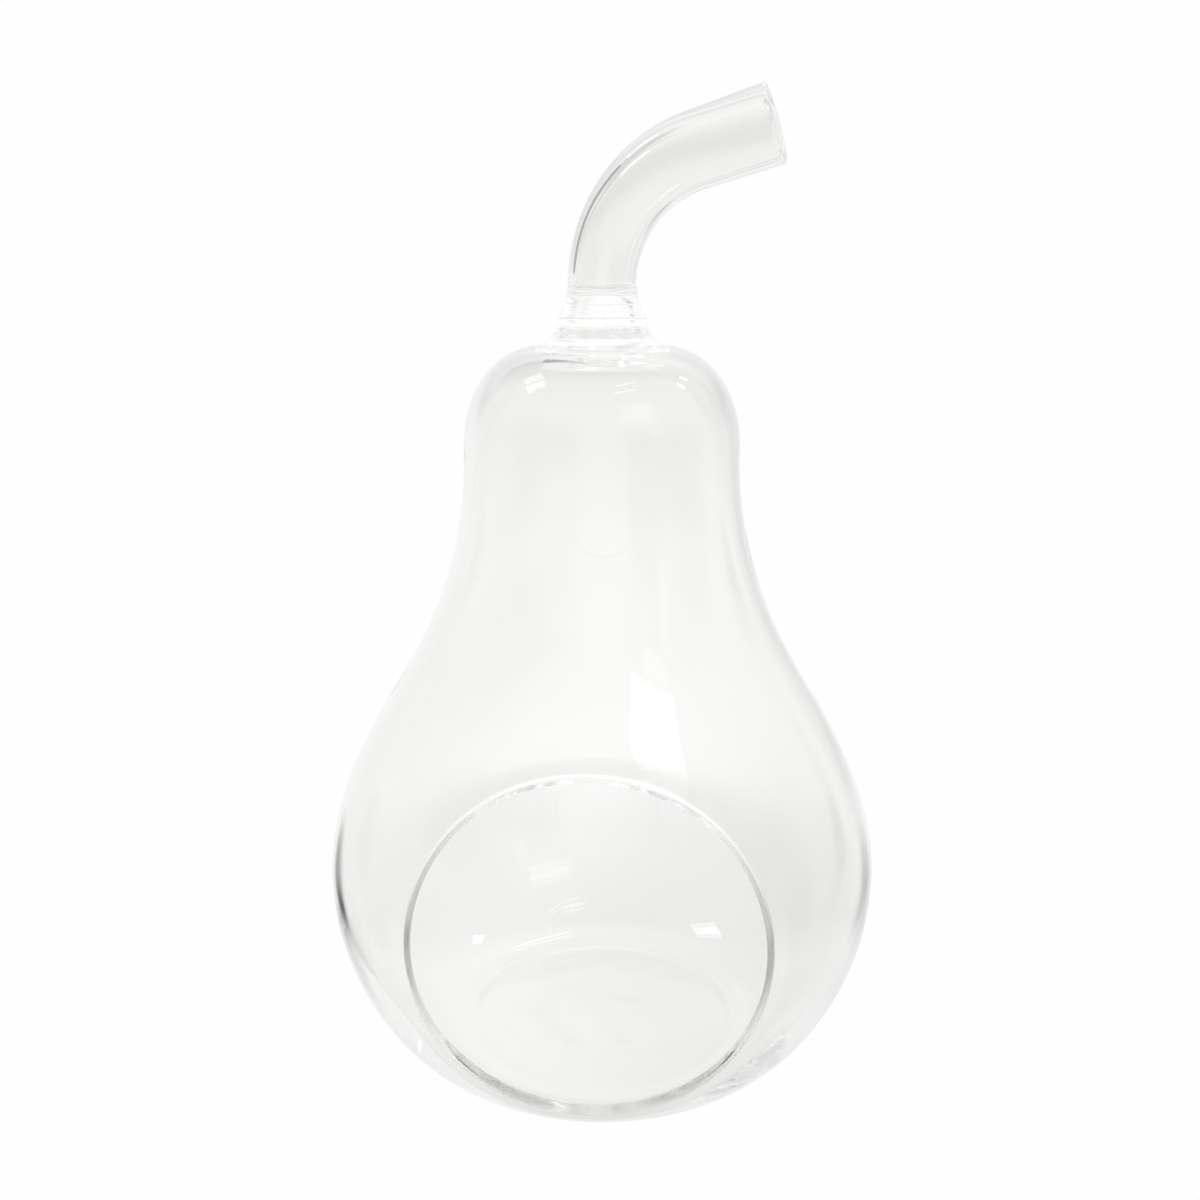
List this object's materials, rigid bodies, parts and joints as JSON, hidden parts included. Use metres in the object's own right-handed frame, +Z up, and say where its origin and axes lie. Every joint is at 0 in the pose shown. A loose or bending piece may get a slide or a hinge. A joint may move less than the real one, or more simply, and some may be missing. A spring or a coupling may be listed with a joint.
{
  "type": "glass pear vessel",
  "caption": "Clear blown-glass pear on a flat foot, hollow inside, with a large round opening in the front of its belly and a bent, open-ended stem tube sealed to its crown.",
  "frame": {"origin": "middle of the flat foot, on the surface that the part stands on", "axes": "+Z up along the pear's axis, -Y out of the front opening, +X towards the side that the stem bends to"},
  "size_m": [0.13, 0.1187, 0.2225],
  "materials": {
    "shell_glass": "clear polished blown glass, about 1.8 mm thick at the belly",
    "seal_glass": "clear solid glass with fine seed bubbles",
    "stem_glass": "clear tube, its wall about 1 mm thick at the seal and 3 mm at the fire-polished end"
  },
  "bodies": {
    "root": {"pear_shell": "shell_glass", "seal_collar": "seal_glass", "stem_tube": "stem_glass"}
  },
  "joints": []
}
